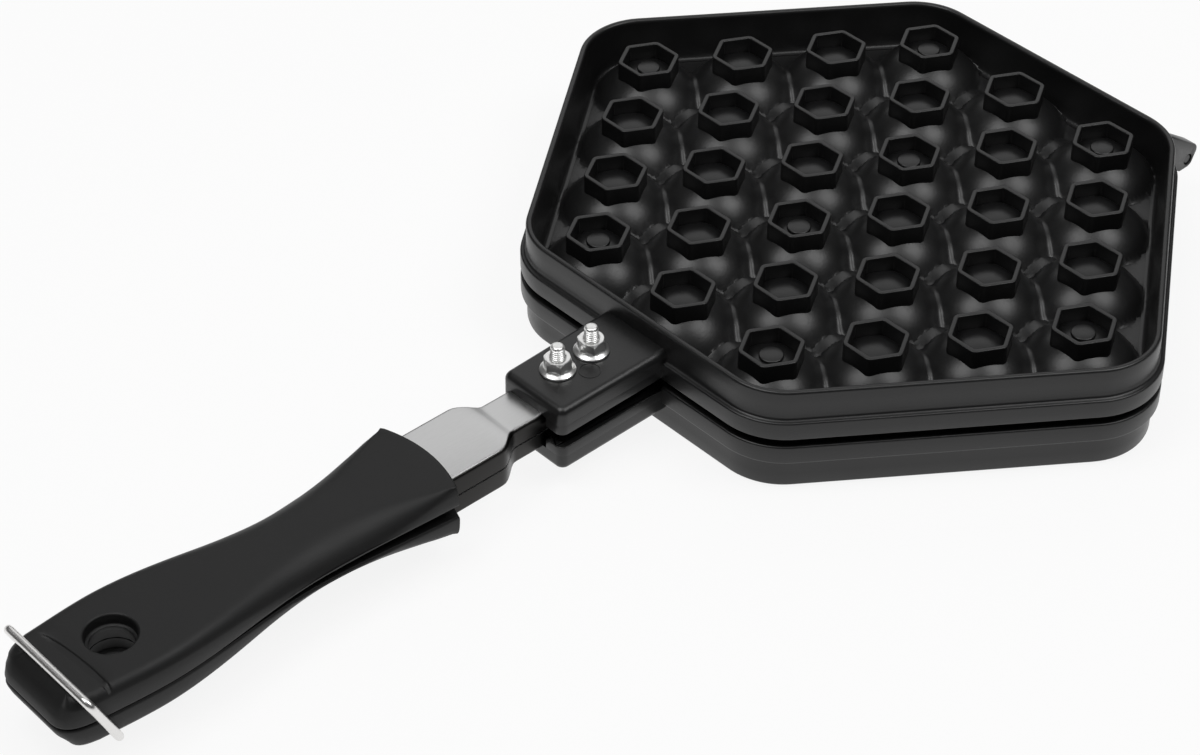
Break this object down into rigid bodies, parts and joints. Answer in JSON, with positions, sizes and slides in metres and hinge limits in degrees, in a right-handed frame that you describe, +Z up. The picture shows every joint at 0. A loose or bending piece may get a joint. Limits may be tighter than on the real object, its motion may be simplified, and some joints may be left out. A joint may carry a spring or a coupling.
{
  "type": "egg waffle pan",
  "caption": "Hexagonal egg waffle pan: two cast halves with domed cells and hexagonal foot rings, hinged at the far edge, steel necks, waisted black grips and a wire lock ring.",
  "frame": {"origin": "centre of the cell field on the plane that the lower rim stands on", "axes": "+X from the handle to the hinge, +Z up, out of the upper half"},
  "size_m": [0.3831, 0.2156, 0.0356],
  "materials": {
    "coated_casting": "satin black non-stick coating on cast aluminium",
    "neck_steel": "satin pressed steel",
    "grip_moulding": "matte black moulding",
    "nut_zinc": "bright zinc plating",
    "bolt_steel": "bright zinc plating",
    "pin_steel": "plain steel",
    "ring_wire": "bright nickel-plated wire"
  },
  "bodies": {
    "lower_half": {"lower_pan": "coated_casting", "lower_neck": "neck_steel", "lower_grip": "grip_moulding", "lower_bolt_front": "bolt_steel", "lower_bolt_rear": "bolt_steel", "lower_nut_front": "nut_zinc", "lower_nut_rear": "nut_zinc"},
    "upper_half": {"upper_pan": "coated_casting", "upper_neck": "neck_steel", "upper_grip": "grip_moulding", "upper_bolt_front": "bolt_steel", "upper_bolt_rear": "bolt_steel", "upper_nut_front": "nut_zinc", "upper_nut_rear": "nut_zinc", "hinge_pin_left": "pin_steel", "hinge_pin_right": "pin_steel"},
    "lock_ring": {"lock_ring": "ring_wire"}
  },
  "joints": [
    {"name": "lid_hinge", "type": "hinge", "parent": "lower_half", "child": "upper_half", "pos_m": [0.0961, 0, 0.0164], "axis": [0, 1, 0], "range_deg": [0, 180]},
    {"name": "ring_swing", "type": "hinge", "parent": "lower_half", "child": "lock_ring", "pos_m": [-0.26913, 0.00584, 0.009], "axis": [-0.0244, -0.9997, 0], "range_deg": [-35, 130]}
  ]
}
